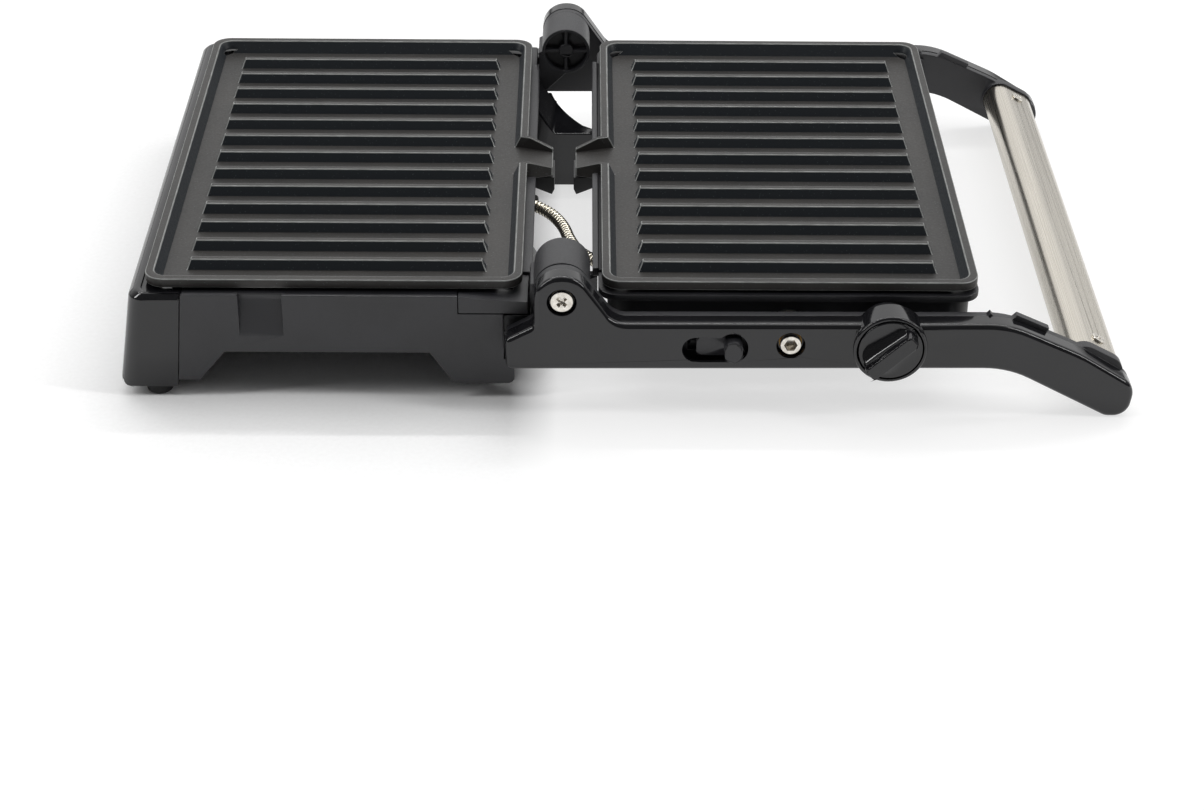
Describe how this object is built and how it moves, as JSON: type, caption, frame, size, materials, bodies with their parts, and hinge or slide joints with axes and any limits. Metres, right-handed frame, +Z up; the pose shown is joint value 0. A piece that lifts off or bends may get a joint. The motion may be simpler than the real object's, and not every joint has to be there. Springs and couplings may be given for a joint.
{
  "type": "panini press",
  "caption": "Contact grill lying fully open: two ribbed non-stick plates on a hinged base and lid, side arms joined by a steel handle, with a lock slider and a turning knob.",
  "frame": {"origin": "centre of the bounding box at table height, on the underside of the feet", "axes": "+Z up; +X from the base towards the handle, the long way of the open press; the knob's side faces -Y"},
  "size_m": [0.4223, 0.2922, 0.0651],
  "materials": {
    "gloss_black": "moulded ABS, polished tool",
    "satin_black": "moulded glass-filled PBT, fine spark texture",
    "nonstick_coating": "die-cast aluminium under sprayed non-stick coating",
    "drip_lip_black": "moulded heat-resistant plastic",
    "brushed_stainless": "brushed along its length",
    "nickel_screw": "nickel plated",
    "zinc_screw": "bright zinc plated",
    "galvanised_sheet": "pressed aluminised sheet",
    "heater_steel": "heat-darkened sheathed tube",
    "spiral_steel": "spiral-wound steel hose",
    "sintered_bronze": "sintered bronze",
    "black_rubber": "moulded rubber",
    "ceramic_white": "glazed ceramic",
    "lamp_lens": "tinted clear plastic"
  },
  "bodies": {
    "base": {"base_housing": "satin_black", "front_trim": "gloss_black", "bottom_cover": "satin_black", "bottom_cover_screws": "zinc_screw", "rubber_feet": "black_rubber", "hinge_bracket_front": "satin_black", "hinge_bracket_back": "satin_black", "hinge_cover_front": "satin_black", "hinge_cover_back": "satin_black", "rear_leg_front": "gloss_black", "rear_leg_back": "gloss_black", "lower_plate": "nonstick_coating", "lower_drip_lip": "drip_lip_black", "lower_element": "heater_steel", "lower_reflector": "galvanised_sheet", "lower_plate_screws": "zinc_screw", "lower_thermostat": "ceramic_white", "thermal_fuse": "ceramic_white", "terminal_block": "satin_black", "cord_gland": "satin_black", "conduit_fitting": "black_rubber", "wiring_conduit": "spiral_steel", "hinge_screws": "nickel_screw"},
    "arms": {"arm_shell_front": "gloss_black", "arm_shell_back": "gloss_black", "arm_cover_front": "satin_black", "arm_cover_back": "satin_black", "arm_cover_screws": "zinc_screw", "handle_tube": "brushed_stainless", "handle_screws": "nickel_screw", "pivot_screws": "nickel_screw", "pivot_bushes": "sintered_bronze", "hinge_bushes": "sintered_bronze"},
    "lid": {"upper_plate": "nonstick_coating", "upper_drip_lip": "drip_lip_black", "upper_element": "heater_steel", "upper_reflector": "galvanised_sheet", "upper_plate_screws": "zinc_screw", "upper_thermostat": "ceramic_white", "lid_bezel": "satin_black", "lid_cover": "satin_black", "lid_pivot_brackets": "galvanised_sheet", "lid_screws": "zinc_screw", "indicator_lamps": "lamp_lens"},
    "lock": {"lock_slider": "satin_black"},
    "knob": {"knob_cap": "gloss_black", "knob_shaft": "nickel_screw", "knob_cam": "satin_black"}
  },
  "joints": [
    {"name": "arm_hinge", "type": "hinge", "parent": "base", "child": "arms", "pos_m": [-0.0265, 0.00535, 0.0535], "axis": [0, 1, 0], "range_deg": [-176, 0], "deforming": ["wiring_conduit"]},
    {"name": "lid_float", "type": "hinge", "parent": "arms", "child": "lid", "pos_m": [0.0674, 0.00535, 0.0339], "axis": [0, 1, 0], "range_deg": [-8, 0]},
    {"name": "lock_slide", "type": "slide", "parent": "arms", "child": "lock", "axis": [1, 0, 0], "range_m": [-0.004, 0]},
    {"name": "knob_turn", "type": "hinge", "parent": "arms", "child": "knob", "pos_m": [0.108, -0.13465, 0.0339], "axis": [0, 1, 0], "range_deg": [0, 90]}
  ]
}
